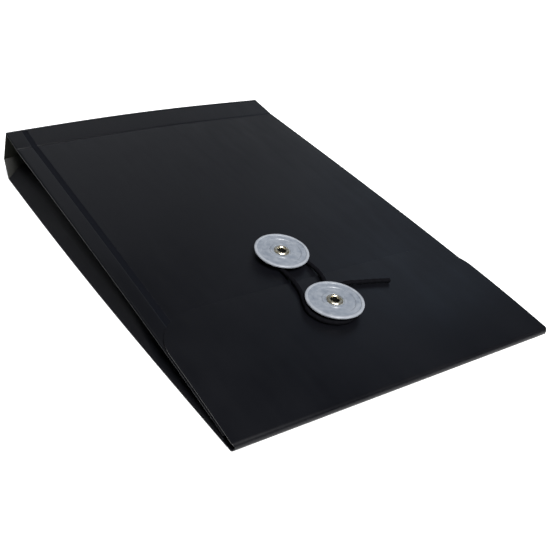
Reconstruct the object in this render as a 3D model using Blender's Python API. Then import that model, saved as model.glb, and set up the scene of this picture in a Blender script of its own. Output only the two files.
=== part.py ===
"""A string-tie expanding envelope in black polypropylene sheet, lying on its back panel.

The pocket is one folded sheet: back panel, V-folded side gussets, a creased bottom wall and a front
panel closed by a welded tab on the left. The flap carries on from the back panel, folds over the mouth
and is tied down by a string wound between two plastic buttons, each held by an eyelet.

Z is up. The mouth and the flap's fold are at the low-Y end and the bottom wall is at the high-Y end.
The origin is at the middle of the envelope's footprint, on the surface that it lies on.
"""

from math import atan, cos, pi, radians, sin, sqrt, tan

import bmesh
import bpy
from mathutils import Matrix, Vector

MM = 0.001

# Sheet and pocket. Distances along the envelope are measured from the outside of the flap's fold.
WIDTH = 158.75 * MM
PANEL_END = 233.6 * MM
SHEET = 0.5 * MM
GAP = 0.3 * MM
MOUTH = 6.0 * MM
WALL_BULGE = 5.0 * MM
LEAF_WIDTH = 17.0 * MM
LEAF_STATIONS = 22
TAB_WIDTH = 11.5 * MM
TAB_START = 14.5 * MM
TAB_END = PANEL_END - 3 * GAP

# Front panel: a straight rise with a bow along it, a steeper band past the score, and a crown across it.
MOUTH_HEIGHT = 3.0 * MM
FRONT_SLOPE = radians(5.7)
FRONT_BOW = 1.6 * MM
FRONT_BOW_SKEW = 0.75
FRONT_STATIONS = 14
SCORE_FROM_END = 18.0 * MM
BAND_SLOPE = radians(9.0)
CROWN = 1.7 * MM
CROWN_START = 110.0 * MM

# The welded line on the front panel, over the tab.
WELD_INSET_AT_TAB = 7.6 * MM
WELD_INSET_AT_END = 9.7 * MM
WELD_WIDTH = 3.2 * MM
WELD_DEPTH = 0.12 * MM

# Flap and its fold. The fold wraps round the hinge line that the flap and the front panel turn on.
FOLD_RADIUS = 1.35 * MM
FLAP_REACH = 66.0 * MM
FLAP_END_SLOPE = radians(5.2)
FLAP_CROWN = 0.5 * MM
FLAP_CORNER = 20.0 * MM
FOLD_CORNER = 1.8 * MM
FOLD_STEPS = 12
CORNER_STEPS = 6
FLAP_STATIONS = 7

# Buttons and eyelets. The string's pull leans the two buttons towards each other.
BUTTONS_SIDEWAYS = -3.0 * MM
FRONT_BUTTON_AT = 84.5 * MM
FLAP_BUTTON_AT = 45.4 * MM
BUTTON_LEAN = radians(1.5)
BUTTON_RADIUS = 12.5 * MM
HUB_RADIUS = 6.0 * MM
PLATE_UNDERSIDE = 2.95 * MM
PLATE_TOP = 3.7 * MM
RIM = 0.25 * MM
BUTTON_STEP = 0.18 * MM
BUTTON_BORE = 2.6 * MM
BARREL_RADIUS = 2.3 * MM
EYE_RADIUS = 1.9 * MM
FLANGE_RADIUS = 3.6 * MM
FLANGE_HEIGHT = 0.6 * MM
CLINCH_RADIUS = 3.2 * MM
CLINCH = 0.25 * MM
TURNED_BEVEL = 0.08 * MM
HOLE_CUTTER_DEPTH = 4.0 * MM

# String, its knot, and the run over which it comes down from the flap to the front panel.
STRING_RADIUS = 1.0 * MM
STRING_LIFT = 1.25 * MM
STRING_POINT_SPACING = 3.4 * MM
FLAP_EDGE_RAMP = 8.0 * MM
KNOT_REACH = 10.3 * MM
KNOT_SWING = radians(-37)

HALF_WIDTH = WIDTH / 2
SCORE_AT = PANEL_END - SCORE_FROM_END
WALL_CREASE_AT = PANEL_END + WALL_BULGE
TOTAL_LENGTH = WALL_CREASE_AT + SHEET / 2
FOLD_OUTSIDE = FOLD_RADIUS + SHEET
HINGE = Vector((0.0, FOLD_OUTSIDE, FOLD_OUTSIDE))
BACK_START = HINGE.y + sqrt((FOLD_OUTSIDE + GAP) ** 2 - FOLD_RADIUS**2)
TO_FOOTPRINT_MIDDLE = Vector((0.0, -TOTAL_LENGTH / 2, 0.0))


def ease(share):
    """A smooth step from 0 to 1."""
    share = min(1.0, max(0.0, share))
    return share * share * (3 - 2 * share)


def front_underside(y, x=HALF_WIDTH):
    """Height of the front panel's underside. The crown is nothing at the side edges."""
    run = min(y, SCORE_AT) - MOUTH
    bow = FRONT_BOW * sin(pi * (run / (SCORE_AT - MOUTH)) ** FRONT_BOW_SKEW)
    band = max(0.0, y - SCORE_AT) * tan(BAND_SLOPE)
    crown = CROWN * ease((y - CROWN_START) / (PANEL_END - CROWN_START)) * cos(pi * x / WIDTH)
    return MOUTH_HEIGHT + run * tan(FRONT_SLOPE) + bow + band + crown


def front_top(y, x=HALF_WIDTH):
    return front_underside(y, x) + SHEET / cos(FRONT_SLOPE)


def middle_of_front(y, x=HALF_WIDTH):
    return (front_underside(y, x) + front_top(y, x)) / 2


def flap_start(slope):
    """Where the fold's inside runs into the flap's underside, for a flap that starts at this slope."""
    return Vector((0.0, HINGE.y - FOLD_RADIUS * sin(slope), HINGE.z + FOLD_RADIUS * cos(slope)))


def flap_start_slope():
    """The slope that brings the flap's free edge down to just above the front panel."""
    slope = FRONT_SLOPE
    target = front_top(FLAP_REACH) + GAP
    for _ in range(20):
        start = flap_start(slope)
        mean = (target - start.z) / (FLAP_REACH - start.y)
        slope = atan(2 * mean - tan(FLAP_END_SLOPE))
    return slope


FLAP_START_SLOPE = flap_start_slope()
FLAP_START = flap_start(FLAP_START_SLOPE)


def flap_slope(y):
    along = (y - FLAP_START.y) / (FLAP_REACH - FLAP_START.y)
    return atan(tan(FLAP_START_SLOPE) + along * (tan(FLAP_END_SLOPE) - tan(FLAP_START_SLOPE)))


def flap_underside(y, x=HALF_WIDTH):
    """Height of the flap's underside: a parabola along it, with a crown over the eyelet's clinch."""
    run = y - FLAP_START.y
    mean = (tan(FLAP_START_SLOPE) + tan(flap_slope(y))) / 2
    crown = FLAP_CROWN * sin(pi * max(0.0, run) / (FLAP_REACH - FLAP_START.y)) * cos(pi * x / WIDTH)
    return FLAP_START.z + run * mean + crown


def flap_top(y, x=HALF_WIDTH):
    return flap_underside(y, x) + SHEET / cos(flap_slope(y))


def slope_of(surface, y, x):
    """The slope along the envelope of a surface's height."""
    reach = 0.5 * MM
    return atan((surface(y + reach, x) - surface(y - reach, x)) / (2 * reach))


def make_material(name, colour, roughness, metallic=0.0):
    material = bpy.data.materials.new(name)
    material.use_nodes = True
    shader = material.node_tree.nodes["Principled BSDF"]
    shader.inputs["Base Color"].default_value = (*colour, 1.0)
    shader.inputs["Roughness"].default_value = roughness
    shader.inputs["Metallic"].default_value = metallic
    return material


def add_object(name, data, material, origin=Vector(), turn=0.0):
    """Place an object whose origin is given along the envelope, turned about X by an angle."""
    obj = bpy.data.objects.new(name, data)
    obj.location = origin + TO_FOOTPRINT_MIDDLE
    obj.rotation_euler.x = turn
    data.materials.append(material)
    bpy.context.collection.objects.link(obj)
    return obj


def shade(mesh):
    mesh.shade_smooth()
    mesh.set_sharp_from_angle(angle=radians(30))


def add_sheet(name, rows, material, origin=Vector()):
    """A strip of sheet through rows of points on its middle surface, thickened to the sheet's gauge."""
    shape = bmesh.new()
    previous = None
    for row in rows:
        current = [shape.verts.new(point - origin) for point in row]
        if previous:
            for i in range(len(current) - 1):
                shape.faces.new((previous[i], previous[i + 1], current[i + 1], current[i]))
        previous = current
    mesh = bpy.data.meshes.new(name)
    shape.to_mesh(mesh)
    shape.free()
    shade(mesh)
    obj = add_object(name, mesh, material, origin)
    solidify = obj.modifiers.new("gauge", "SOLIDIFY")
    solidify.thickness = SHEET
    solidify.offset = 0.0
    solidify.use_even_offset = True
    return obj


def add_turned(name, profile, steps, material, origin, turn):
    """Turn a closed (radius, height) profile about the local Z axis."""
    shape = bmesh.new()
    loop = [shape.verts.new((radius, 0.0, height)) for radius, height in profile]
    for i, vert in enumerate(loop):
        shape.edges.new((vert, loop[(i + 1) % len(loop)]))
    mesh = bpy.data.meshes.new(name)
    shape.to_mesh(mesh)
    shape.free()
    obj = add_object(name, mesh, material, origin, turn)
    screw = obj.modifiers.new("turn", "SCREW")
    screw.steps = steps
    screw.render_steps = steps
    screw.use_merge_vertices = True
    screw.merge_threshold = 0.00001
    screw.use_smooth_shade = True
    bevel = obj.modifiers.new("bevel", "BEVEL")
    bevel.width = TURNED_BEVEL
    bevel.segments = 1
    bevel.limit_method = "ANGLE"
    bevel.angle_limit = radians(50)
    return obj


def cut_with(target, cutter):
    cutter.hide_render = True
    cutter.display_type = "WIRE"
    boolean = target.modifiers.new(cutter.name, "BOOLEAN")
    boolean.operation = "DIFFERENCE"
    boolean.object = cutter
    boolean.solver = "EXACT"


def add_hole_cutter(name, origin, turn):
    shape = bmesh.new()
    bmesh.ops.create_cone(
        shape, cap_ends=True, segments=32, radius1=BUTTON_BORE, radius2=BUTTON_BORE, depth=HOLE_CUTTER_DEPTH
    )
    mesh = bpy.data.meshes.new(name)
    shape.to_mesh(mesh)
    shape.free()
    return add_object(name, mesh, CUTTER_MATERIAL, origin, turn)


def between(start, end, count):
    """Evenly spaced values from start to end."""
    return [start + (end - start) * i / count for i in range(count + 1)]


def rounded_half_width(distance, radius):
    """Half the width of a full-width sheet at a distance from an end whose corners are rounded."""
    if distance >= radius:
        return HALF_WIDTH
    return HALF_WIDTH - radius + sqrt(radius**2 - (radius - max(distance, 0.0)) ** 2)


def add_back_panel():
    rows = []
    for y in (BACK_START, PANEL_END):
        rows.append([Vector((-HALF_WIDTH, y, SHEET / 2)), Vector((HALF_WIDTH, y, SHEET / 2))])
    return add_sheet("back_panel", rows, SHEET_MATERIAL)


def front_stations(start):
    return between(start, SCORE_AT, FRONT_STATIONS) + [(SCORE_AT + PANEL_END) / 2, PANEL_END]


def weld_sides(y):
    """The left and right sides of the welded line, which runs a little aslant."""
    share = (y - TAB_START) / (PANEL_END - TAB_START)
    inset = WELD_INSET_AT_TAB + share * (WELD_INSET_AT_END - WELD_INSET_AT_TAB)
    middle = -HALF_WIDTH + inset
    return middle - WELD_WIDTH / 2, middle + WELD_WIDTH / 2


def front_columns(y):
    """Places across the front panel, with one on each side of the welded line."""
    left, right = weld_sides(y)
    return [-HALF_WIDTH, left] + between(right, HALF_WIDTH, 6)


def add_front_panel():
    rows = []
    for y in front_stations(MOUTH):
        rows.append([Vector((x, y, middle_of_front(y, x))) for x in front_columns(y)])
    panel = add_sheet("front_panel", rows, SHEET_MATERIAL, HINGE)
    cut_with(panel, add_hole_cutter("front_hole_cutter", *seat_of_button(front_top, FRONT_BUTTON_AT)))
    cut_with(panel, add_weld_cutter())
    return panel


def add_weld_cutter():
    """The tool that presses the welded line: its foot reaches a little way into the panel's top."""
    tall = 2 * MM
    shape = bmesh.new()
    rings = []
    for y in front_stations(TAB_START)[:-1] + [PANEL_END + SHEET]:
        left, right = [Vector((x, y, front_top(y, x) - WELD_DEPTH)) for x in weld_sides(y)]
        head = Vector((0.0, 0.0, tall))
        rings.append([shape.verts.new(corner) for corner in (left, right, right + head, left + head)])
    for near, far in zip(rings, rings[1:]):
        for i in range(4):
            shape.faces.new((near[i], near[(i + 1) % 4], far[(i + 1) % 4], far[i]))
    shape.faces.new(rings[0])
    shape.faces.new(rings[-1])
    bmesh.ops.recalc_face_normals(shape, faces=shape.faces)
    mesh = bpy.data.meshes.new("weld_cutter")
    shape.to_mesh(mesh)
    shape.free()
    return add_object("weld_cutter", mesh, CUTTER_MATERIAL)


def add_side_seam_tab():
    """The tab that closes the pocket, under the front panel's left edge."""
    drop = SHEET + GAP
    rows = []
    for y in between(TAB_START, SCORE_AT, FRONT_STATIONS) + [TAB_END]:
        row = []
        for x in (-HALF_WIDTH, -HALF_WIDTH + TAB_WIDTH):
            row.append(Vector((x, y, middle_of_front(y, x) - drop)))
        rows.append(row)
    return add_sheet("side_seam_tab", rows, SHEET_MATERIAL, HINGE)


def add_flap():
    """The fold's arc round the hinge line, then the flap bowing up and down to its free edge."""
    middle_radius = FOLD_RADIUS + SHEET / 2
    columns = between(-1.0, 1.0, 8)
    rows = []
    for angle in between(-pi / 2, FLAP_START_SLOPE - 3 * pi / 2, FOLD_STEPS):
        y = HINGE.y + middle_radius * cos(angle)
        z = HINGE.z + middle_radius * sin(angle)
        half = rounded_half_width(y, FOLD_CORNER)
        rows.append([Vector((half * share, y, z)) for share in columns])
    stations = between(FOLD_CORNER, FLAP_REACH - FLAP_CORNER, FLAP_STATIONS)
    for angle in between(0.0, pi / 2, CORNER_STEPS)[1:]:
        stations.append(FLAP_REACH - FLAP_CORNER * cos(angle))
    for y in stations:
        half = rounded_half_width(FLAP_REACH - y, FLAP_CORNER)
        row = []
        for share in columns:
            x = half * share
            row.append(Vector((x, y, (flap_underside(y, x) + flap_top(y, x)) / 2)))
        rows.append(row)
    flap = add_sheet("flap", rows, SHEET_MATERIAL, HINGE)
    cut_with(flap, add_hole_cutter("flap_hole_cutter", *seat_of_button(flap_top, FLAP_BUTTON_AT)))
    return flap


def add_bottom_wall(name, low, high):
    """One half of the bottom wall, between two edges given as (distance, height at a place across)."""
    rows = []
    for y, height in (low, high):
        rows.append([Vector((x, y, height(x))) for x in front_columns(PANEL_END)])
    return add_sheet(name, rows, SHEET_MATERIAL)


def add_bottom_walls():
    """Two halves that meet at an outward crease, halfway up the pocket's closed end."""
    thick = 0.6 * SHEET
    hem = PANEL_END + GAP + thick
    clear = GAP / 2 + 0.4 * SHEET

    def head(x):
        return middle_of_front(PANEL_END, x)

    def crease(x):
        return (thick + head(x)) / 2

    lower_edges = (hem, lambda x: thick), (WALL_CREASE_AT, lambda x: crease(x) - clear)
    upper_edges = (WALL_CREASE_AT, lambda x: crease(x) + clear), (hem, head)
    add_bottom_wall("bottom_wall_lower", *lower_edges)
    add_bottom_wall("bottom_wall_upper", *upper_edges)


def leaf_rows(side, upper):
    """One leaf of a V-folded gusset, from the panel's side edge in to the gusset's crease."""
    start = MOUTH + SHEET
    edge = HALF_WIDTH - SHEET / 2
    stations = between(start, SCORE_AT, LEAF_STATIONS) + [TAB_END]
    rows = []
    for y in stations:
        floor = SHEET + GAP
        ceiling = front_underside(y) - GAP
        if side < 0:
            ceiling -= (SHEET + GAP) * min(1.0, (y - start) / (TAB_START - start))
        crease = (floor + ceiling) / 2
        rise = 0.0
        for _ in range(8):
            upright = SHEET / sqrt(1.0 - (rise / LEAF_WIDTH) ** 2)
            rise = max(0.0, crease - GAP / 2 - floor - upright)
        depth = sqrt(LEAF_WIDTH**2 - rise**2)
        foot = floor + upright / 2
        if upper:
            foot = ceiling - upright / 2
            rise = -rise
        rows.append([
            Vector((side * edge, y, foot)),
            Vector((side * (edge - depth), y, foot + rise)),
        ])
    return rows


def add_gussets():
    for side, word in ((-1, "left"), (1, "right")):
        add_sheet(f"{word}_gusset_lower", leaf_rows(side, False), SHEET_MATERIAL)
        add_sheet(f"{word}_gusset_upper", leaf_rows(side, True), SHEET_MATERIAL)


def button_profile():
    """A plate with a raised rim and two shallow steps, on a hub that stands on the sheet."""
    step_at = 0.72 * BUTTON_RADIUS
    boss_at = 0.42 * BUTTON_RADIUS
    recess_at = FLANGE_RADIUS + GAP
    foot = GAP + HUB_RADIUS * tan(BUTTON_LEAN)
    return [
        (BUTTON_BORE, PLATE_TOP - 2 * BUTTON_STEP),
        (recess_at, PLATE_TOP - 2 * BUTTON_STEP),
        (recess_at + BUTTON_STEP, PLATE_TOP),
        (boss_at - BUTTON_STEP, PLATE_TOP),
        (boss_at, PLATE_TOP - BUTTON_STEP),
        (step_at, PLATE_TOP - BUTTON_STEP),
        (step_at + BUTTON_STEP, PLATE_TOP),
        (BUTTON_RADIUS - 4 * RIM, PLATE_TOP),
        (BUTTON_RADIUS - 3.2 * RIM, PLATE_TOP + RIM),
        (BUTTON_RADIUS - RIM, PLATE_TOP + RIM),
        (BUTTON_RADIUS, PLATE_TOP),
        (BUTTON_RADIUS, PLATE_UNDERSIDE + RIM),
        (BUTTON_RADIUS - RIM, PLATE_UNDERSIDE),
        (HUB_RADIUS, PLATE_UNDERSIDE),
        (HUB_RADIUS, foot),
        (BUTTON_BORE, foot),
    ]


def eyelet_profile():
    """A flange with a rolled lip on the button, a barrel through both, and a clinch under the sheet."""
    seat = PLATE_TOP - 2 * BUTTON_STEP + GAP + FLANGE_RADIUS * tan(BUTTON_LEAN)
    clinch_top = -SHEET - GAP
    return [
        (EYE_RADIUS + 0.15 * MM, seat + FLANGE_HEIGHT),
        (EYE_RADIUS + 0.8 * MM, seat + FLANGE_HEIGHT),
        (FLANGE_RADIUS - 0.2 * MM, seat + 0.4 * FLANGE_HEIGHT),
        (FLANGE_RADIUS, seat),
        (BARREL_RADIUS, seat),
        (BARREL_RADIUS, clinch_top),
        (CLINCH_RADIUS, clinch_top),
        (CLINCH_RADIUS - 0.2 * MM, clinch_top - CLINCH),
        (EYE_RADIUS + 0.1 * MM, clinch_top - CLINCH),
        (EYE_RADIUS, clinch_top),
        (EYE_RADIUS, seat + 0.6 * FLANGE_HEIGHT),
    ]


def seat_of_button(surface, along):
    """Where a button's axis meets the top of the sheet under it, and the sheet's slope there."""
    height = surface(along, BUTTONS_SIDEWAYS)
    return Vector((BUTTONS_SIDEWAYS, along, height)), slope_of(surface, along, BUTTONS_SIDEWAYS)


def add_button(word, surface, along, lean):
    at, slope = seat_of_button(surface, along)
    add_turned(f"{word}_button", button_profile(), 48, BUTTON_MATERIAL, at, slope + lean)
    add_turned(f"{word}_eyelet", eyelet_profile(), 32, EYELET_MATERIAL, at, slope)


def add_buttons():
    add_button("front", front_top, FRONT_BUTTON_AT, BUTTON_LEAN)
    add_button("flap", flap_top, FLAP_BUTTON_AT, -BUTTON_LEAN)


def string_route():
    """Places on the string's line: sideways and along from the flap's button, and lift over the sheets.

    From its knot the string goes round the outside of the flap's button, up the left, round the front
    button, down the right, then round the flap's button the other way and out to the right.
    """
    inner = 7.6
    apart = (FRONT_BUTTON_AT - FLAP_BUTTON_AT) / MM
    lift = STRING_LIFT / MM
    route = []
    for turn in (-50, -75, -100, -125, -150, -175):
        slack = KNOT_REACH / MM + 2.6 * ease((turn + 50) / -125)
        route.append((slack * cos(radians(turn)), slack * sin(radians(turn)), lift))
    route += [(-12.0, 3.0, lift), (-10.6, 6.6, lift), (-9.0, 10.0, lift), (-7.8, 13.8, lift)]
    route += [(-6.8, 19.0, lift), (-6.1, 26.0, lift), (-6.5, 32.5, lift)]
    for turn in (180, 150, 120, 90, 60, 30, 0):
        route.append((inner * cos(radians(turn)), apart + inner * sin(radians(turn)), lift))
    route += [(8.3, 33.5, lift), (8.5, 28.5, lift), (8.2, 22.5, lift), (6.9, 16.5, lift), (4.1, 11.6, lift)]
    route.append((0.6, 8.9, lift))
    for turn in (115, 145, 175, 205, 235, 265, 295, 325, 355):
        route.append((inner * cos(radians(turn)), inner * sin(radians(turn)), lift))
    route += [(8.4, 3.6, lift), (9.9, 7.4, lift), (12.6, 9.7, lift), (15.9, 9.5, lift), (19.5, 8.5, lift)]
    route += [(23.3, 7.5, lift), (27.0, 6.5, lift), (30.7, 5.4, lift), (34.5, 4.2, lift)]
    return route


def string_support(x, y):
    """The surface under the string: the flap's top, then a short ramp down to the front panel's."""
    if y <= FLAP_REACH:
        return flap_top(y, x)
    fall = min(1.0, (y - FLAP_REACH) / FLAP_EDGE_RAMP)
    step = flap_top(FLAP_REACH, x) - front_top(FLAP_REACH, x)
    return front_top(y, x) + step * (1.0 - fall)


def route_point(sideways, along, lift):
    x = BUTTONS_SIDEWAYS + sideways * MM
    y = FLAP_BUTTON_AT + along * MM
    return Vector((x, y, string_support(x, y) + lift * MM))


def smooth_curve(points, per_span=12):
    """A Catmull-Rom curve through the points, sampled finely."""
    ends = [2 * points[0] - points[1]] + points + [2 * points[-1] - points[-2]]
    fine = []
    for a, b, c, d in zip(ends, ends[1:], ends[2:], ends[3:]):
        for i in range(per_span):
            t = i / per_span
            bend = 2 * a - 5 * b + 4 * c - d
            twist = 3 * b - a - 3 * c + d
            fine.append(b + (t * (c - a) + t**2 * bend + t**3 * twist) / 2)
    fine.append(points[-1])
    return fine


def evenly_spaced(fine, spacing):
    lengths = [0.0]
    for a, b in zip(fine, fine[1:]):
        lengths.append(lengths[-1] + (b - a).length)
    count = round(lengths[-1] / spacing)
    picked = []
    i = 0
    for n in range(count + 1):
        want = lengths[-1] * n / count
        while i < len(fine) - 2 and lengths[i + 1] < want:
            i += 1
        share = (want - lengths[i]) / (lengths[i + 1] - lengths[i])
        picked.append(fine[i].lerp(fine[i + 1], min(1.0, share)))
    return picked


def add_string():
    route = [route_point(*place) for place in string_route()]
    points = evenly_spaced(smooth_curve(route), STRING_POINT_SPACING)
    curve = bpy.data.curves.new("string", "CURVE")
    curve.dimensions = "3D"
    curve.bevel_depth = STRING_RADIUS
    curve.bevel_resolution = 2
    curve.use_fill_caps = True
    spline = curve.splines.new("POLY")
    spline.points.add(len(points) - 1)
    for place, point in zip(spline.points, points):
        place.co = (*(point - HINGE), 1.0)
    return add_object("string", curve, STRING_MATERIAL, HINGE)


def add_string_knot():
    """The knot that anchors the string, pinched under the flap's button."""
    x = BUTTONS_SIDEWAYS + KNOT_REACH * cos(KNOT_SWING)
    y = FLAP_BUTTON_AT + KNOT_REACH * sin(KNOT_SWING)
    middle = Vector((x, y, flap_top(y, x) + STRING_LIFT))
    shape = bmesh.new()
    bmesh.ops.create_uvsphere(shape, u_segments=20, v_segments=12, radius=1.0)
    size = Matrix.Diagonal((1.4 * MM, 1.8 * MM, 1.0 * MM, 1.0))
    bmesh.ops.transform(shape, matrix=Matrix.Rotation(KNOT_SWING, 4, "Z") @ size, verts=shape.verts)
    bmesh.ops.translate(shape, vec=middle - HINGE, verts=shape.verts)
    mesh = bpy.data.meshes.new("string_knot")
    shape.to_mesh(mesh)
    shape.free()
    shade(mesh)
    return add_object("string_knot", mesh, STRING_MATERIAL, HINGE)


def remove_objects():
    for obj in list(bpy.data.objects):
        bpy.data.objects.remove(obj)


remove_objects()
SHEET_MATERIAL = make_material("black_polypropylene", (0.018, 0.019, 0.022), 0.38)
BUTTON_MATERIAL = make_material("grey_plastic", (0.40, 0.42, 0.47), 0.35)
EYELET_MATERIAL = make_material("eyelet_metal", (0.72, 0.68, 0.58), 0.22, 1.0)
STRING_MATERIAL = make_material("black_cord", (0.006, 0.006, 0.008), 0.8)
CUTTER_MATERIAL = make_material("cutter", (0.8, 0.1, 0.1), 0.5)

add_back_panel()
add_front_panel()
add_side_seam_tab()
add_flap()
add_bottom_walls()
add_gussets()
add_buttons()
add_string()
add_string_knot()
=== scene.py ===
"""Looks of the string-tie expanding envelope: fine sheets, turned buttons, braided string, materials."""

from math import atan, atan2, cos, exp, pi, radians, sin, sqrt, tan

import bmesh
import bpy
from mathutils import Matrix, Vector


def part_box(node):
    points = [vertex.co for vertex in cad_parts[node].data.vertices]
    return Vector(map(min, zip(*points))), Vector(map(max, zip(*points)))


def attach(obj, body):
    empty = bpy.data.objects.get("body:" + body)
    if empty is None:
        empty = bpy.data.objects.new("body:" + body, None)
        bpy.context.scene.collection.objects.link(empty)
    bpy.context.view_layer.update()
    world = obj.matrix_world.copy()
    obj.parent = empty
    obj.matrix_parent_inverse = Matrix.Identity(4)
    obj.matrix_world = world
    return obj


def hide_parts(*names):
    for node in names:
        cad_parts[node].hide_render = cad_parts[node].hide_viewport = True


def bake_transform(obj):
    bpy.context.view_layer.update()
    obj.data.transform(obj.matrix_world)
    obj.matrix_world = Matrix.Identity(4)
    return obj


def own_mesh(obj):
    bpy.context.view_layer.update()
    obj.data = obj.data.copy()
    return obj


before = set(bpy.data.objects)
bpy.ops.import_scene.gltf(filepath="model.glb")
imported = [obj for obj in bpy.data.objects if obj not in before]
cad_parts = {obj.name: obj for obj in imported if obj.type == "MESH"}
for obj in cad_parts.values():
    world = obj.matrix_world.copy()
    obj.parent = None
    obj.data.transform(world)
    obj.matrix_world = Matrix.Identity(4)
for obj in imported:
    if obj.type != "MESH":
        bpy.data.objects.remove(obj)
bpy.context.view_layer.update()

MM = 0.001

# Places read from the frame.
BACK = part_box("back_panel")
FLAP_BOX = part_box("flap")
HALF_WIDTH = BACK[1][0]
FOLD_END = FLAP_BOX[0][1]
SHEET = BACK[1][2] - BACK[0][2]
PANEL_END = BACK[1][1] - FOLD_END

# The envelope's own shape. Distances along it are measured from the outside of the flap's fold.
GAP = 0.3 * MM
SEAM = 0.1 * MM
MOUTH = 6.0 * MM
WALL_BULGE = 5.0 * MM
LEAF_WIDTH = 17.0 * MM
TAB_WIDTH = 11.5 * MM
TAB_START = 14.5 * MM
TAB_END = PANEL_END - 3 * GAP
BACK_EDGE_BOW = 1.7 * MM

# Gussets: the lower leaf rises to a shoulder past SHOULDER_FROM, and the crease sags past SAG_FROM.
GUSSET_INSET = 0.45 * MM
CREASE_RADIUS = 0.8 * MM
SHOULDER_FROM = 53.0 * MM
SHOULDER_RISE = 0.16
SHOULDER_LEAST = 0.2 * MM
SAG_FROM = 190.0 * MM
SAG = 0.35

# Closed end: at its left it slumps and stands further out.
SLUMP_WIDTH = 0.3
SLUMP = 0.3
SLUMP_OUT = 1.5 * MM
WALL_LAP = 1.5 * MM

# Front panel: a rise with a bow along it, a steeper band past the score, and a crown across it.
MOUTH_HEIGHT = 3.0 * MM
FRONT_SLOPE = radians(5.7)
FRONT_BOW = 1.6 * MM
FRONT_BOW_SKEW = 0.75
SCORE_FROM_END = 18.0 * MM
BAND_SLOPE = radians(9.0)
CROWN = 1.7 * MM
CROWN_START = 110.0 * MM

# What is pressed into the front panel, and its left edge, which rolls over into the gusset.
WELD_INSET_AT_TAB = 7.6 * MM
WELD_INSET_AT_END = 9.7 * MM
WELD_WIDTH = 3.2 * MM
WELD_WALL = 0.3 * MM
WELD_BRINK = 0.3 * MM
WELD_SUNK = 0.2 * MM
SCORE_DEPTH = 0.25 * MM
SCORE_WIDTH = 0.6 * MM
EDGE_ROLL = 1.0 * MM
EDGE_ROLL_DROP = 0.35 * MM

# Fold and flap.
FOLD_RADIUS = 1.35 * MM
FLAP_REACH = 66.0 * MM
FLAP_END_SLOPE = radians(5.2)
FLAP_CROWN = 0.5 * MM
FLAP_CORNER = 20.0 * MM
FOLD_CORNER = 1.8 * MM

# Buttons and eyelets. Heights are above the sheet under the button.
BUTTONS_SIDEWAYS = -3.0 * MM
FRONT_BUTTON_AT = 84.5 * MM
FLAP_BUTTON_AT = 45.4 * MM
BUTTON_LEAN = radians(1.5)
BUTTON_RADIUS = 12.5 * MM
HUB_RADIUS = 6.0 * MM
PLATE_UNDERSIDE = 2.95 * MM
PLATE_TOP = 3.7 * MM
BUTTON_BORE = 2.6 * MM
BARREL_RADIUS = 2.3 * MM
EYE_RADIUS = 1.9 * MM
FLANGE_RADIUS = 3.6 * MM
CLINCH_RADIUS = 3.2 * MM
CLINCH = 0.25 * MM
RECESS = 0.36 * MM
FACE_STEP = 0.3 * MM
RIM_WIDTH = 1.5 * MM
RIM_HEIGHT = 0.4 * MM
SEAT_GAP = 0.05 * MM
LIP_HEIGHT = 0.85 * MM

# String: a round cord with two crossing sets of strands, and the knot that anchors it.
STRING_RADIUS = 1.0 * MM
STRING_LIFT = 1.25 * MM
FLAP_EDGE_RAMP = 8.0 * MM
KNOT_REACH = 10.3 * MM
KNOT_SWING = radians(-37)
BRAID_SIDES = 24
BRAID_STRANDS = 4
BRAID_PITCH = 7.0 * MM
BRAID_RELIEF = 0.07

# Studio: the sky's light, and how bright the floor and the wall behind it look to the camera.
SKY_LIGHT = 0.055
FLOOR_FILL = 0.62
WALL_BRIGHTNESS = 0.9

SCORE_AT = PANEL_END - SCORE_FROM_END
FOLD_OUTSIDE = FOLD_RADIUS + SHEET
HINGE = Vector((0.0, FOLD_OUTSIDE, FOLD_OUTSIDE))


def placed(x, along, z):
    """A point given along the envelope, in the frame."""
    return Vector((x, FOLD_END + along, z))


def ease(share):
    """A smooth step from 0 to 1."""
    share = min(1.0, max(0.0, share))
    return share * share * (3 - 2 * share)


def between(start, end, count):
    """Evenly spaced values from start to end."""
    return [start + (end - start) * i / count for i in range(count + 1)]


# ---------------------------------------------------------------- surfaces

def front_underside(y, x=HALF_WIDTH):
    """Height of the front panel's underside. The crown is nothing at the side edges."""
    run = min(y, SCORE_AT) - MOUTH
    bow = FRONT_BOW * sin(pi * (run / (SCORE_AT - MOUTH)) ** FRONT_BOW_SKEW)
    band = max(0.0, y - SCORE_AT) * tan(BAND_SLOPE)
    crown = CROWN * ease((y - CROWN_START) / (PANEL_END - CROWN_START)) * cos(pi / 2 * x / HALF_WIDTH)
    return MOUTH_HEIGHT + run * tan(FRONT_SLOPE) + bow + band + crown


def front_top(y, x=HALF_WIDTH):
    return front_underside(y, x) + SHEET / cos(FRONT_SLOPE)


def middle_of_front(y, x=HALF_WIDTH):
    return (front_underside(y, x) + front_top(y, x)) / 2


def flap_start(slope):
    """Where the fold's inside runs into the flap's underside, for a flap that starts at this slope."""
    return Vector((0.0, HINGE.y - FOLD_RADIUS * sin(slope), HINGE.z + FOLD_RADIUS * cos(slope)))


def flap_start_slope():
    """The slope that brings the flap's free edge down to just above the front panel."""
    slope = FRONT_SLOPE
    target = front_top(FLAP_REACH) + GAP
    for _ in range(20):
        start = flap_start(slope)
        mean = (target - start.z) / (FLAP_REACH - start.y)
        slope = atan(2 * mean - tan(FLAP_END_SLOPE))
    return slope


FLAP_START_SLOPE = flap_start_slope()
FLAP_START = flap_start(FLAP_START_SLOPE)


def flap_slope(y):
    along = (y - FLAP_START.y) / (FLAP_REACH - FLAP_START.y)
    return atan(tan(FLAP_START_SLOPE) + along * (tan(FLAP_END_SLOPE) - tan(FLAP_START_SLOPE)))


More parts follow.
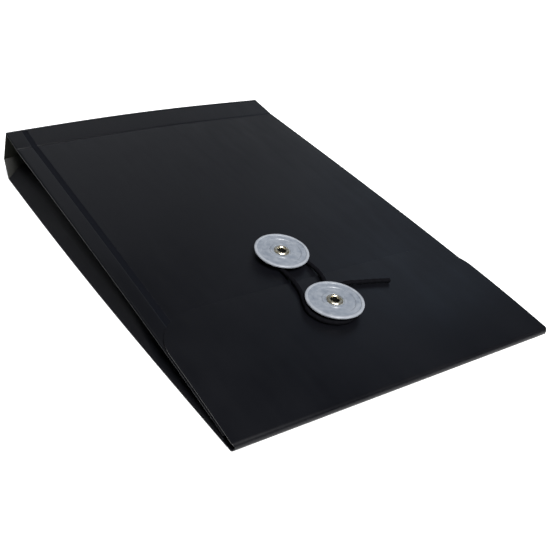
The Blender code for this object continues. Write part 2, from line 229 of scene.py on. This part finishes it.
def flap_underside(y, x=HALF_WIDTH):
    """Height of the flap's underside: a parabola along it, with a crown over the eyelet's clinch."""
    run = y - FLAP_START.y
    mean = (tan(FLAP_START_SLOPE) + tan(flap_slope(y))) / 2
    bulge = sin(pi * max(0.0, run) / (FLAP_REACH - FLAP_START.y))
    return FLAP_START.z + run * mean + FLAP_CROWN * bulge * cos(pi / 2 * x / HALF_WIDTH)


def flap_top(y, x=HALF_WIDTH):
    return flap_underside(y, x) + SHEET / cos(flap_slope(y))


def slope_of(surface, y, x):
    """The slope along the envelope of a surface's height."""
    reach = 0.5 * MM
    return atan((surface(y + reach, x) - surface(y - reach, x)) / (2 * reach))


def seat_of_button(surface, along):
    """Where a button's axis meets the top of the sheet under it, and the sheet's slope there."""
    seat = placed(BUTTONS_SIDEWAYS, along, surface(along, BUTTONS_SIDEWAYS))
    return seat, slope_of(surface, along, BUTTONS_SIDEWAYS)


def back_edge(y):
    """Half the back panel's width, whose sides bow out a little along its length."""
    return HALF_WIDTH + BACK_EDGE_BOW * sin(pi * y / PANEL_END)


# ---------------------------------------------------------------- materials

class Nodes:
    """A short way to build a procedural material round its Principled BSDF."""

    def __init__(self, name):
        self.material = bpy.data.materials.new(name)
        self.material.use_nodes = True
        self.tree = self.material.node_tree
        self.shader = self.tree.nodes["Principled BSDF"]
        self.place = self.add("ShaderNodeTexCoord").outputs["Object"]

    def add(self, kind, **values):
        node = self.tree.nodes.new(kind)
        for key, value in values.items():
            setattr(node, key, value)
        return node

    def link(self, source, target):
        self.tree.links.new(source, target)

    def noise(self, scale, detail=2.0, roughness=0.5, stretch=None):
        node = self.add("ShaderNodeTexNoise")
        node.inputs["Scale"].default_value = scale
        node.inputs["Detail"].default_value = detail
        node.inputs["Roughness"].default_value = roughness
        place = self.place
        if stretch:
            mapping = self.add("ShaderNodeMapping")
            mapping.inputs["Scale"].default_value = stretch
            self.link(place, mapping.inputs["Vector"])
            place = mapping.outputs["Vector"]
        self.link(place, node.inputs["Vector"])
        return node.outputs["Fac"]

    def spread(self, source, low, high, from_low=0.3, from_high=0.7):
        node = self.add("ShaderNodeMapRange")
        node.inputs["From Min"].default_value = from_low
        node.inputs["From Max"].default_value = from_high
        node.inputs["To Min"].default_value = low
        node.inputs["To Max"].default_value = high
        self.link(source, node.inputs["Value"])
        return node.outputs["Result"]

    def mix(self, factor, first, second):
        node = self.add("ShaderNodeMix", data_type="RGBA")
        node.inputs["A"].default_value = (*first, 1.0)
        node.inputs["B"].default_value = (*second, 1.0)
        self.link(factor, node.inputs["Factor"])
        return node.outputs["Result"]

    def bump(self, source, strength, distance, after=None):
        node = self.add("ShaderNodeBump")
        node.inputs["Strength"].default_value = strength
        node.inputs["Distance"].default_value = distance
        self.link(source, node.inputs["Height"])
        if after:
            self.link(after, node.inputs["Normal"])
        return node.outputs["Normal"]

    def set(self, **values):
        for name, value in values.items():
            socket = self.shader.inputs[name.replace("_", " ")]
            if hasattr(value, "node"):
                self.link(value, socket)
            else:
                socket.default_value = value
        return self.material


def sheet_material(name, dark, light, rough_low, rough_high, specular=0.32):
    """Extruded polypropylene: a fine pebbled grain, faint rub marks and slow changes of gloss."""
    m = Nodes(name)
    cloud = m.noise(18, detail=3)
    rub = m.noise(240, detail=4, stretch=(1.0, 0.12, 1.0))
    grain = m.noise(5200, detail=2)
    waves = m.noise(26, detail=1)
    normal = m.bump(waves, 0.25, 0.00025)
    normal = m.bump(grain, 0.22, 0.00002, after=normal)
    colour = m.mix(cloud, dark, light)
    rough = m.add("ShaderNodeMath", operation="ADD")
    m.link(m.spread(cloud, rough_low, rough_high), rough.inputs[0])
    m.link(m.spread(rub, -0.03, 0.03), rough.inputs[1])
    return m.set(
        Base_Color=colour, Roughness=rough.outputs["Value"], Normal=normal, Specular_IOR_Level=specular,
    )


def button_material(name, dark, light):
    """Moulded plastic with a soft sheen, mottled where the moulding flowed."""
    m = Nodes(name)
    cloud = m.noise(420, detail=3)
    speck = m.noise(3200, detail=2)
    normal = m.bump(cloud, 0.5, 0.00025)
    normal = m.bump(speck, 0.15, 0.00003, after=normal)
    colour = m.mix(m.spread(cloud, 0, 1), dark, light)
    return m.set(Base_Color=colour, Roughness=m.spread(speck, 0.28, 0.4), Normal=normal)


def eyelet_material():
    """Nickel plate with a warm tarnish in random patches."""
    m = Nodes("eyelet_plate")
    cloud = m.noise(700, detail=3)
    scratch = m.noise(2600, detail=3, stretch=(1.0, 1.0, 0.2))
    normal = m.bump(scratch, 0.12, 0.00002)
    colour = m.mix(m.spread(cloud, 0, 1), (0.80, 0.68, 0.40), (0.95, 0.94, 0.90))
    return m.set(Base_Color=colour, Metallic=1.0, Roughness=m.spread(cloud, 0.26, 0.4), Normal=normal)


def bore_shade_material():
    """Painted shade: a near-black colour down an eyelet's bore, standing in for the shade inside it, with a
    random mottle.
    """
    m = Nodes("eyelet_bore_shade")
    mottle = m.noise(1400, detail=3)
    colour = m.mix(mottle, (0.004, 0.004, 0.003), (0.012, 0.011, 0.008))
    return m.set(Base_Color=colour, Roughness=m.spread(mottle, 0.6, 0.8), Specular_IOR_Level=0.2)


def string_material():
    """Black polyester braid: dull, with lighter fibre ends."""
    m = Nodes("string_braid")
    fibre = m.noise(5200, detail=3)
    tuft = m.noise(900, detail=2)
    normal = m.bump(fibre, 0.5, 0.00006)
    colour = m.mix(tuft, (0.0012, 0.0012, 0.0020), (0.0040, 0.0040, 0.0060))
    return m.set(
        Base_Color=colour, Roughness=m.spread(fibre, 0.75, 0.95), Normal=normal, Specular_IOR_Level=0.08,
    )


def floor_material():
    """Pale paper that looks evenly lit to the camera, without lighting the envelope any more."""
    m = Nodes("floor_paper")
    tooth = m.noise(900, detail=2)
    colour = m.mix(tooth, (0.90, 0.90, 0.90), (0.92, 0.92, 0.92))
    seen = m.add("ShaderNodeLightPath").outputs["Is Camera Ray"]
    return m.set(
        Base_Color=colour, Roughness=0.9, Normal=m.bump(tooth, 0.05, 0.0001), Specular_IOR_Level=0.1,
        Emission_Color=(1.0, 1.0, 1.0, 1.0), Emission_Strength=m.spread(seen, 0, FLOOR_FILL, 0, 1),
    )


SHEET_LOOK = sheet_material("sheet_black", (0.0022, 0.0023, 0.0034), (0.0044, 0.0046, 0.0066), 0.30, 0.42)
# Painted light: the closed end's inner face is a lighter olive than the outside, standing in for the light
# that reaches it.
INNER_PAINTED_LIGHT_LOOK = sheet_material("sheet_inner_painted_light", (0.0070, 0.0073, 0.0054), (0.0115, 0.0120, 0.0086), 0.40, 0.50)
WELD_LOOK = sheet_material("sheet_weld", (0.0020, 0.0025, 0.0045), (0.0035, 0.0042, 0.0070), 0.62, 0.72, 0.12)
BUTTON_LOOK = button_material("button_plate", (0.18, 0.203, 0.242), (0.27, 0.293, 0.33))
# Painted highlight: the raised rim's paler colour stands in for the light it catches.
RIM_HIGHLIGHT_LOOK = button_material("button_rim_highlight", (0.28, 0.30, 0.335), (0.36, 0.38, 0.415))
EYELET_LOOK = eyelet_material()
# Painted shade for the inside of the eyelets' bores.
BORE_SHADE_LOOK = bore_shade_material()
STRING_LOOK = string_material()


# ---------------------------------------------------------------- pieces

def add_object(name, shape, materials):
    """Turn a bmesh into an object with these materials."""
    mesh = bpy.data.meshes.new(name)
    shape.to_mesh(mesh)
    shape.free()
    for material in materials:
        mesh.materials.append(material)
    obj = bpy.data.objects.new(name, mesh)
    bpy.context.collection.objects.link(obj)
    return obj


def soften_edges(obj, width, angle):
    edges = obj.modifiers.new("edges", "BEVEL")
    edges.width = width
    edges.segments = 2
    edges.limit_method = "ANGLE"
    edges.angle_limit = angle
    edges.harden_normals = True


def make_final(obj):
    """Make the modifiers' result the object's own mesh, so that a pose moves both faces of a sheet."""
    bpy.context.view_layer.update()
    evaluated = obj.evaluated_get(bpy.context.evaluated_depsgraph_get())
    mesh = bpy.data.meshes.new_from_object(evaluated)
    obj.modifiers.clear()
    obj.data = mesh


def grid_piece(name, rows, materials, pick=None, inner=0):
    """A smooth sheet through rows of points on its middle surface, thickened and with eased edges.

    pick gives a face's material; the sheet's other side has the material that is inner further on.
    """
    shape = bmesh.new()
    verts = [[shape.verts.new(point) for point in row] for row in rows]
    for near, far in zip(verts, verts[1:]):
        for i in range(len(near) - 1):
            face = shape.faces.new((near[i], near[i + 1], far[i + 1], far[i]))
            face.smooth = True
            if pick:
                face.material_index = pick(face.calc_center_median())
    obj = add_object(name, shape, materials)
    gauge = obj.modifiers.new("gauge", "SOLIDIFY")
    gauge.thickness = SHEET
    gauge.offset = 0.0
    gauge.use_even_offset = True
    gauge.material_offset = inner
    soften_edges(obj, 0.12 * MM, radians(50))
    make_final(obj)
    return obj


def steps(start, end, spacing):
    """Evenly spaced values from start to end, about this far apart."""
    return between(start, end, max(1, round((end - start) / spacing)))


def back_sheet():
    ys = steps(MOUTH * 0.6, PANEL_END - SHEET, 9 * MM)
    rows = [[placed(back_edge(y) * share, y, SHEET / 2) for share in between(-1, 1, 12)] for y in ys]
    piece = grid_piece("back_sheet", rows, [SHEET_LOOK])
    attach(piece, "back")
    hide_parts("back_panel")


def weld_sides(y):
    """The left and right sides of the welded line, which runs a little aslant."""
    share = (y - TAB_START) / (PANEL_END - TAB_START)
    inset = WELD_INSET_AT_TAB + share * (WELD_INSET_AT_END - WELD_INSET_AT_TAB)
    middle = -HALF_WIDTH + inset
    return middle - WELD_WIDTH / 2, middle + WELD_WIDTH / 2


def front_sheet():
    """The front panel, with a scored crease near its closed end and a weld sunk along its left side."""

    def surface(x, y):
        left, right = weld_sides(y)
        z = middle_of_front(y, x) - SCORE_DEPTH * exp(-((y - SCORE_AT) / SCORE_WIDTH) ** 2)
        from_edge = min(1.0, (x + HALF_WIDTH) / EDGE_ROLL)
        z -= EDGE_ROLL_DROP * (1 - sqrt(max(0.0, 1 - (1 - from_edge) ** 2)))
        if left + WELD_WALL / 2 < x < right - WELD_WALL / 2 and y > TAB_START:
            z -= WELD_SUNK
        return placed(x, y, z)

    ys = steps(MOUTH, SCORE_AT - 4 * MM, 5 * MM)
    ys += steps(SCORE_AT - 3 * MM, SCORE_AT + 3 * MM, 0.5 * MM)
    ys += steps(SCORE_AT + 4 * MM, PANEL_END, 2.4 * MM)
    rows = []
    for y in ys:
        left, right = weld_sides(y)
        open_from = right + WELD_BRINK
        xs = [-HALF_WIDTH + EDGE_ROLL * (1 - cos(turn)) for turn in between(0, pi / 2, 6)]
        xs += [left - WELD_BRINK, left, left + WELD_WALL, right - WELD_WALL, right]
        xs += [open_from + (HALF_WIDTH - open_from) * sin(turn) for turn in between(0, pi / 2, 20)]
        rows.append([surface(x, y) for x in xs])

    def pick(centre):
        left, right = weld_sides(centre.y - FOLD_END)
        return 1 if left < centre.x < right and centre.y > FOLD_END + TAB_START else 0

    piece = grid_piece("front_sheet", rows, [SHEET_LOOK, WELD_LOOK], pick)
    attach(piece, "front")
    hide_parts("front_panel")


def seam_tab():
    """The tab under the front panel's left edge, with its fold turned down towards the gusset."""
    drop = SHEET + SEAT_GAP
    radius = 0.55 * MM
    inset = 0.35 * MM
    rows = []
    for y in steps(TAB_START, TAB_END, 8 * MM):
        top = middle_of_front(y) - drop
        row = []
        for turn in between(pi, pi / 2, 6):
            x = -HALF_WIDTH + inset + radius + radius * cos(turn)
            row.append(placed(x, y, top - radius + radius * sin(turn)))
        for x in (-HALF_WIDTH + 4 * MM, -HALF_WIDTH + TAB_WIDTH):
            row.append(placed(x, y, middle_of_front(y, x) - drop))
        rows.append(row)
    piece = grid_piece("seam_tab", rows, [SHEET_LOOK])
    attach(piece, "front")
    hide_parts("side_seam_tab")


def rounded_half_width(distance, radius):
    """Half the width of a full-width sheet at a distance from an end whose corners are rounded."""
    if distance >= radius:
        return HALF_WIDTH
    return HALF_WIDTH - radius + sqrt(max(0.0, radius**2 - (radius - max(distance, 0.0)) ** 2))


def flap_sheet():
    """The fold, continuous with the back panel, and the flap bowing down to its rounded free edge."""
    middle_radius = FOLD_RADIUS + SHEET / 2
    shares = between(-1, 1, 24)
    rows = []
    for y in (MOUTH * 0.75, FOLD_OUTSIDE + 1.2 * MM):
        rows.append([placed(HALF_WIDTH * share, y, SHEET / 2) for share in shares])
    for angle in between(-pi / 2, FLAP_START_SLOPE - 3 * pi / 2, 22):
        y = HINGE.y + middle_radius * cos(angle)
        z = HINGE.z + middle_radius * sin(angle)
        half = rounded_half_width(y, FOLD_CORNER)
        rows.append([placed(half * share, y, z) for share in shares])
    ys = steps(FOLD_CORNER, FLAP_REACH - FLAP_CORNER - 2 * MM, 3.5 * MM)
    ys += [FLAP_REACH - FLAP_CORNER * cos(angle) for angle in between(0, pi / 2, 12)]
    for y in ys:
        half = rounded_half_width(FLAP_REACH - y, FLAP_CORNER)
        row = []
        for share in shares:
            x = half * share
            row.append(placed(x, y, (flap_underside(y, x) + flap_top(y, x)) / 2))
        rows.append(row)
    piece = grid_piece("flap_sheet", rows, [SHEET_LOOK])
    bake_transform(piece)
    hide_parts("flap")


def gusset(side):
    """A gusset's two leaves as one sheet, creased at the inside and folded out of the side edges.

    The lower leaf stands up from the back panel's edge to a shoulder, then turns in towards the crease.
    """
    start = MOUTH + SHEET
    edge = HALF_WIDTH - GUSSET_INSET
    rows = []
    for y in steps(start, TAB_END, 5 * MM):
        floor = SHEET + SEAM
        ceiling = front_underside(y) - SEAM
        if side < 0:
            ceiling -= (SHEET + SEAM) * min(1.0, (y - start) / (TAB_START - start))
        low = floor + SHEET / 2
        high = ceiling - SHEET / 2
        half = max(SHEET / 2, (high - low) / 2)
        crease_radius = min(CREASE_RADIUS, half)
        sag = SAG * half * ease((y - SAG_FROM) / (TAB_END - SAG_FROM))
        crease_z = low + half - sag
        shoulder = min(half - sag - crease_radius, SHOULDER_RISE * (y - SHOULDER_FROM))
        shoulder = max(SHOULDER_LEAST, shoulder)
        flat = LEAF_WIDTH - shoulder * sqrt(2)
        depth = shoulder + sqrt(flat**2 - (crease_z - low - shoulder) ** 2)
        foot = back_edge(y) - GUSSET_INSET
        row = [placed(side * (foot - lap), y, SHEET / 2) for lap in (1.6 * MM, 0.4 * MM)]
        for share in between(0, 1, 2):
            row.append(placed(side * (foot - shoulder * share), y, low + shoulder * share))
        for share in between(0, 1, 5)[1:-1]:
            x = foot - shoulder + (edge - depth - foot + shoulder) * share
            z = low + shoulder + (crease_z - crease_radius - low - shoulder) * share
            row.append(placed(side * x, y, z))
        for angle in between(-pi / 2, pi / 2, 5):
            x = edge - depth - crease_radius * cos(angle)
            row.append(placed(side * x, y, crease_z + crease_radius * sin(angle)))
        for share in between(1, 0, 8)[1:]:
            drop = (high - crease_z - crease_radius) * share
            row.append(placed(side * (edge - depth * share), y, high - drop))
        rows.append(row)
    word = "left" if side < 0 else "right"
    piece = grid_piece(f"{word}_gusset", rows, [SHEET_LOOK])
    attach(piece, "back")
    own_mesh(piece)
    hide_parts(f"{word}_gusset_lower", f"{word}_gusset_upper")


def bottom_wall():
    """The closed end, creased outwards at half its height, lower and further out at its left end."""
    out = PANEL_END + 0.2 * MM
    panel_edge = PANEL_END - 0.3 * MM
    crease_room = 1.0 * MM
    rows = []
    for x in [HALF_WIDTH * sin(pi / 2 * share) for share in between(-1, 1, 24)]:
        top = middle_of_front(PANEL_END, x)
        slump = ease((-x / HALF_WIDTH - 1 + SLUMP_WIDTH) / SLUMP_WIDTH)
        middle = (SHEET / 2 + top) / 2 * (1 - SLUMP * slump)
        crease = PANEL_END + WALL_BULGE + SLUMP_OUT * slump
        lean = (crease - out) / (middle - SHEET)
        upper_lean = (crease - out) / (top - middle)
        profile = [(PANEL_END - WALL_LAP, SHEET / 2), (panel_edge, SHEET / 2), (out, SHEET * 0.8)]
        for z in between(SHEET, middle - crease_room, 7)[1:]:
            profile.append((out + (z - SHEET) * lean, z))
        profile.append((crease, middle))
        for z in between(middle + crease_room, top, 7)[:-1]:
            profile.append((out + (top - z) * upper_lean, z))
        profile += [(out, top - SEAM), (panel_edge, top), (PANEL_END - WALL_LAP, top - SEAM)]
        rows.append([placed(x, y, z) for y, z in profile])
    # The inner face takes the painted-light look: lighter olive for the light that reaches it.
    piece = grid_piece("bottom_wall", rows, [SHEET_LOOK, INNER_PAINTED_LIGHT_LOOK], inner=1)
    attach(piece, "back")
    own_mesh(piece)
    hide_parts("bottom_wall_lower", "bottom_wall_upper")


def turned(name, profile, count, materials, at, lean, pick=None):
    """Turn a closed (radius, height) profile about an axis that leans back along the envelope."""
    shape = bmesh.new()
    turn = Matrix.Translation(at) @ Matrix.Rotation(lean, 4, "X")
    rings = []
    for i in range(count):
        angle = 2 * pi * i / count
        ring = []
        for radius, height in profile:
            ring.append(shape.verts.new(turn @ Vector((radius * cos(angle), radius * sin(angle), height))))
        rings.append(ring)
    for i in range(count):
        near, far = rings[i], rings[(i + 1) % count]
        for j in range(len(profile)):
            k = (j + 1) % len(profile)
            face = shape.faces.new((near[j], near[k], far[k], far[j]))
            face.smooth = True
            if pick:
                face.material_index = pick(profile[j], profile[k])
    bmesh.ops.recalc_face_normals(shape, faces=shape.faces)
    obj = add_object(name, shape, materials)
    obj.data.set_sharp_from_angle(angle=radians(75))
    soften_edges(obj, 0.1 * MM, radians(25))
    return obj


def button_profile():
    """A plate with a raised round rim and two shallow steps, on a hub that stands on the sheet."""
    step_at = 0.72 * BUTTON_RADIUS
    boss_at = 0.44 * BUTTON_RADIUS
    recess_at = FLANGE_RADIUS + GAP
    rim_middle = BUTTON_RADIUS - RIM_WIDTH / 2
    foot = HUB_RADIUS * tan(BUTTON_LEAN) + SEAT_GAP
    profile = [
        (BUTTON_BORE, PLATE_TOP - RECESS),
        (recess_at, PLATE_TOP - RECESS),
        (recess_at + 0.25 * MM, PLATE_TOP),
        (boss_at - FACE_STEP, PLATE_TOP),
        (boss_at, PLATE_TOP - FACE_STEP),
        (step_at - FACE_STEP, PLATE_TOP - FACE_STEP),
        (step_at, PLATE_TOP - 0.02 * MM),
    ]
    for angle in between(pi, 0, 8):
        profile.append((rim_middle + RIM_WIDTH / 2 * cos(angle), PLATE_TOP + RIM_HEIGHT * sin(angle)))
    profile += [
        (BUTTON_RADIUS, PLATE_UNDERSIDE + 0.3 * MM),
        (BUTTON_RADIUS - 0.3 * MM, PLATE_UNDERSIDE),
        (HUB_RADIUS, PLATE_UNDERSIDE),
        (HUB_RADIUS, foot),
        (BUTTON_BORE, foot),
    ]
    return profile


def eyelet_profile():
    """A flange rolled over the button, a barrel through it and a clinch under the sheet."""
    seat = PLATE_TOP - RECESS + SEAT_GAP
    clinch_top = -SHEET - GAP / 2
    middle = (EYE_RADIUS + FLANGE_RADIUS) / 2
    half = (FLANGE_RADIUS - EYE_RADIUS) / 2
    profile = [(EYE_RADIUS, seat)]
    for angle in between(pi, 0, 9)[1:]:
        profile.append((middle + half * cos(angle), seat + LIP_HEIGHT * sin(angle)))
    profile += [
        (BARREL_RADIUS, seat),
        (BARREL_RADIUS, clinch_top),
        (CLINCH_RADIUS, clinch_top),
        (CLINCH_RADIUS - 0.2 * MM, clinch_top - CLINCH),
        (EYE_RADIUS + 0.1 * MM, clinch_top - CLINCH),
        (EYE_RADIUS, clinch_top),
    ]
    return profile


def on_rim(start, end):
    """Which of a button's looks a stretch of its profile takes: the second, painted lighter as a highlight,
    on the rim.
    """
    return 1 if min(start[0], end[0]) > BUTTON_RADIUS - RIM_WIDTH + SEAM else 0


def in_bore(start, end):
    """Which of an eyelet's looks a stretch of its profile takes: the second, painted shade, down its bore."""
    limit = EYE_RADIUS + 0.15 * MM
    return 1 if start[0] <= limit and end[0] <= limit else 0


def button(word, carrier, surface, along, lean):
    at, slope = seat_of_button(surface, along)
    looks = [BUTTON_LOOK, RIM_HIGHLIGHT_LOOK]
    disc = turned(f"{word}_button_fine", button_profile(), 128, looks, at, slope + lean, on_rim)
    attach(disc, f"{word}_button")
    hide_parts(f"{word}_button")
    looks = [EYELET_LOOK, BORE_SHADE_LOOK]
    eyelet = turned(f"{word}_eyelet_fine", eyelet_profile(), 96, looks, at, slope, in_bore)
    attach(eyelet, carrier)
    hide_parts(f"{word}_eyelet")


# ---------------------------------------------------------------- string

def string_route():
    """The string's route, sideways and along from the flap's button, in millimetres.

    From its knot the string goes round the outside of the flap's button, up the left, round the front
    button, down the right, then round the flap's button the other way and out to the right.
    """
    inner = 7.6
    apart = (FRONT_BUTTON_AT - FLAP_BUTTON_AT) / MM
    route = []
    for turn in (-50, -75, -100, -125, -150, -175):
        slack = KNOT_REACH / MM + 2.6 * ease((turn + 50) / -125)
        route.append((slack * cos(radians(turn)), slack * sin(radians(turn))))
    route += [(-12.0, 3.0), (-10.6, 6.6), (-9.0, 10.0), (-7.8, 13.8)]
    route += [(-6.8, 19.0), (-6.1, 26.0), (-6.5, 32.5)]
    for turn in (180, 150, 120, 90, 60, 30, 0):
        route.append((inner * cos(radians(turn)), apart + inner * sin(radians(turn))))
    route += [(8.3, 33.5), (8.5, 28.5), (8.2, 22.5), (6.9, 16.5), (4.1, 11.6)]
    route.append((0.6, 8.9))
    for turn in (115, 145, 175, 205, 235, 265, 295, 325, 355):
        route.append((inner * cos(radians(turn)), inner * sin(radians(turn))))
    route += [(8.4, 3.6), (9.9, 7.4), (12.6, 9.7), (15.9, 9.5), (19.5, 8.5)]
    route += [(23.3, 7.5), (27.0, 6.5), (30.7, 5.4), (34.5, 4.2)]
    return route


def string_support(x, y):
    """The surface under the string: the flap's top, then a short ramp down to the front panel's."""
    if y <= FLAP_REACH:
        return flap_top(y, x)
    fall = min(1.0, (y - FLAP_REACH) / FLAP_EDGE_RAMP)
    step = flap_top(FLAP_REACH, x) - front_top(FLAP_REACH, x)
    return front_top(y, x) + step * (1.0 - fall)


def route_point(sideways, along):
    x = BUTTONS_SIDEWAYS + sideways * MM
    y = FLAP_BUTTON_AT + along * MM
    return placed(x, y, string_support(x, y) + STRING_LIFT)


def smooth_curve(points, per_span=16):
    """A Catmull-Rom curve through the points, sampled finely."""
    ends = [2 * points[0] - points[1]] + points + [2 * points[-1] - points[-2]]
    fine = []
    for a, b, c, d in zip(ends, ends[1:], ends[2:], ends[3:]):
        for i in range(per_span):
            t = i / per_span
            bend = 2 * a - 5 * b + 4 * c - d
            twist = 3 * b - a - 3 * c + d
            fine.append(b + (t * (c - a) + t**2 * bend + t**3 * twist) / 2)
    fine.append(points[-1])
    return fine


def string():
    """The braid: a round cord whose radius swells along two crossing sets of strands."""
    path = smooth_curve([route_point(*place) for place in string_route()])
    shape = bmesh.new()
    rings = []
    length = 0.0
    for i, point in enumerate(path):
        if i:
            length += (point - path[i - 1]).length
        along = (path[min(i + 1, len(path) - 1)] - path[max(i - 1, 0)]).normalized()
        across = along.cross(Vector((0, 0, 1))).normalized()
        up = across.cross(along)
        twist = 2 * pi * length / BRAID_PITCH
        ring = []
        for k in range(BRAID_SIDES):
            angle = 2 * pi * k / BRAID_SIDES
            over = cos(BRAID_STRANDS * (angle + twist / 2))
            under = cos(BRAID_STRANDS * (angle - twist / 2))
            radius = STRING_RADIUS * (1 - BRAID_RELIEF + BRAID_RELIEF * max(over, under))
            ring.append(shape.verts.new(point + radius * (across * cos(angle) + up * sin(angle))))
        rings.append(ring)
    for near, far in zip(rings, rings[1:]):
        for k in range(BRAID_SIDES):
            m = (k + 1) % BRAID_SIDES
            shape.faces.new((near[k], near[m], far[m], far[k])).smooth = True
    shape.faces.new(rings[0])
    shape.faces.new(rings[-1])
    bmesh.ops.recalc_face_normals(shape, faces=shape.faces)
    piece = add_object("string_fine", shape, [STRING_LOOK])
    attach(piece, "flap")
    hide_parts("string")
    knot = string_knot()


def string_knot():
    """A small overhand knot's rounded lump, pinched under the flap's button."""
    x = BUTTONS_SIDEWAYS + KNOT_REACH * cos(KNOT_SWING)
    y = FLAP_BUTTON_AT + KNOT_REACH * sin(KNOT_SWING)
    middle = placed(x, y, flap_top(y, x) + STRING_LIFT)
    shape = bmesh.new()
    bmesh.ops.create_icosphere(shape, subdivisions=4, radius=1.0)
    for vert in shape.verts:
        turn = atan2(vert.co.y, vert.co.x)
        groove = 0.08 * sin(3 * turn + 4 * vert.co.z)
        vert.co *= 0.94 + groove * (1 - vert.co.z**2)
    size = Matrix.Diagonal((1.4 * MM, 1.8 * MM, 1.0 * MM, 1.0))
    bmesh.ops.transform(shape, matrix=Matrix.Rotation(KNOT_SWING, 4, "Z") @ size, verts=shape.verts)
    bmesh.ops.translate(shape, vec=middle, verts=shape.verts)
    for face in shape.faces:
        face.smooth = True
    knot = add_object("knot_fine", shape, [STRING_LOOK])
    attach(knot, "flap")
    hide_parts("string_knot")
    return knot


# ---------------------------------------------------------------- floor, lights and camera

def add_camera():
    """A near view from the front left, turned slightly, with the envelope right of the lens's axis."""
    azimuth = radians(-33.19)
    elevation = radians(28.96)
    distance = 396.5 * MM
    target = Vector((-8.7, 8.6, 0.0)) * MM
    roll = -0.084
    back = Vector((sin(azimuth) * cos(elevation), -cos(azimuth) * cos(elevation), sin(elevation)))
    right = Vector((0, 0, 1)).cross(back).normalized()
    up = back.cross(right)
    turned_right = right * cos(roll) - up * sin(roll)
    turned_up = right * sin(roll) + up * cos(roll)
    matrix = Matrix((turned_right, turned_up, back)).transposed().to_4x4()
    matrix.translation = target + back * distance
    data = bpy.data.cameras.new("camera")
    data.lens = 52.61
    data.shift_x = 0.104
    data.shift_y = -0.0619
    data.clip_start = 0.01
    camera = bpy.data.objects.new("camera", data)
    camera.matrix_world = matrix
    bpy.context.collection.objects.link(camera)
    bpy.context.scene.camera = camera


def add_light(name, at, aim, size, power, colour=(1, 1, 1), spread=pi):
    """A rectangular lamp. A narrow spread keeps its light off everything but what it is aimed at."""
    data = bpy.data.lights.new(name, "AREA")
    data.shape = "RECTANGLE"
    data.energy = power
    data.color = colour
    data.size, data.size_y = size
    data.spread = spread
    light = bpy.data.objects.new(name, data)
    light.location = at
    light.rotation_euler = (Vector(aim) - Vector(at)).to_track_quat("-Z", "Y").to_euler()
    bpy.context.collection.objects.link(light)


def add_floor():
    shape = bmesh.new()
    bmesh.ops.create_grid(shape, x_segments=2, y_segments=2, size=6.0)
    floor = add_object("floor", shape, [floor_material()])
    floor.location.z = -0.3 * MM


def add_world():
    """A dim sky for what the envelope reflects, and a pale wall for what the camera sees past the floor."""
    world = bpy.data.worlds.new("studio")
    world.use_nodes = True
    nodes, links = world.node_tree.nodes, world.node_tree.links
    sky = nodes["Background"]
    sky.inputs["Color"].default_value = (0.86, 0.92, 1.0, 1.0)
    sky.inputs["Strength"].default_value = SKY_LIGHT
    wall = nodes.new("ShaderNodeBackground")
    wall.inputs["Strength"].default_value = WALL_BRIGHTNESS
    seen = nodes.new("ShaderNodeLightPath")
    either = nodes.new("ShaderNodeMixShader")
    links.new(seen.outputs["Is Camera Ray"], either.inputs["Fac"])
    links.new(sky.outputs["Background"], either.inputs[1])
    links.new(wall.outputs["Background"], either.inputs[2])
    links.new(either.outputs["Shader"], nodes["World Output"].inputs["Surface"])
    bpy.context.scene.world = world


def add_lights():
    """A key from the near side, a pool of light behind, and weak fills for the sheet's sheen."""
    add_light("key", (-0.3, -1.25, 1.8), (0, 0, 0), (0.9, 0.9), 74)
    add_light("side", (-1.2, 1.5, 1.0), (0, 0, 0), (0.9, 0.9), 0.5)
    add_light("backdrop", (0.5, 1.7, 1.6), (0.5, 1.71, 0), (1.6, 1.6), 40, spread=radians(70))
    add_light("glow", (1.1, 1.9, 1.15), (0, 0, 0), (1.7, 0.6), 1.5, (0.9, 0.94, 1.0))
    add_light("window", (1.75, 1.1, 1.4), (0, 0, 0), (0.7, 0.7), 1.1, (0.62, 0.78, 1.0))


bpy.context.scene.view_settings.view_transform = "Standard"
add_camera()
string()
back_sheet()
front_sheet()
seam_tab()
flap_sheet()
gusset(-1)
gusset(1)
bottom_wall()
button("front", "front", front_top, FRONT_BUTTON_AT, BUTTON_LEAN)
button("flap", "flap", flap_top, FLAP_BUTTON_AT, -BUTTON_LEAN)
add_floor()
add_world()
add_lights()
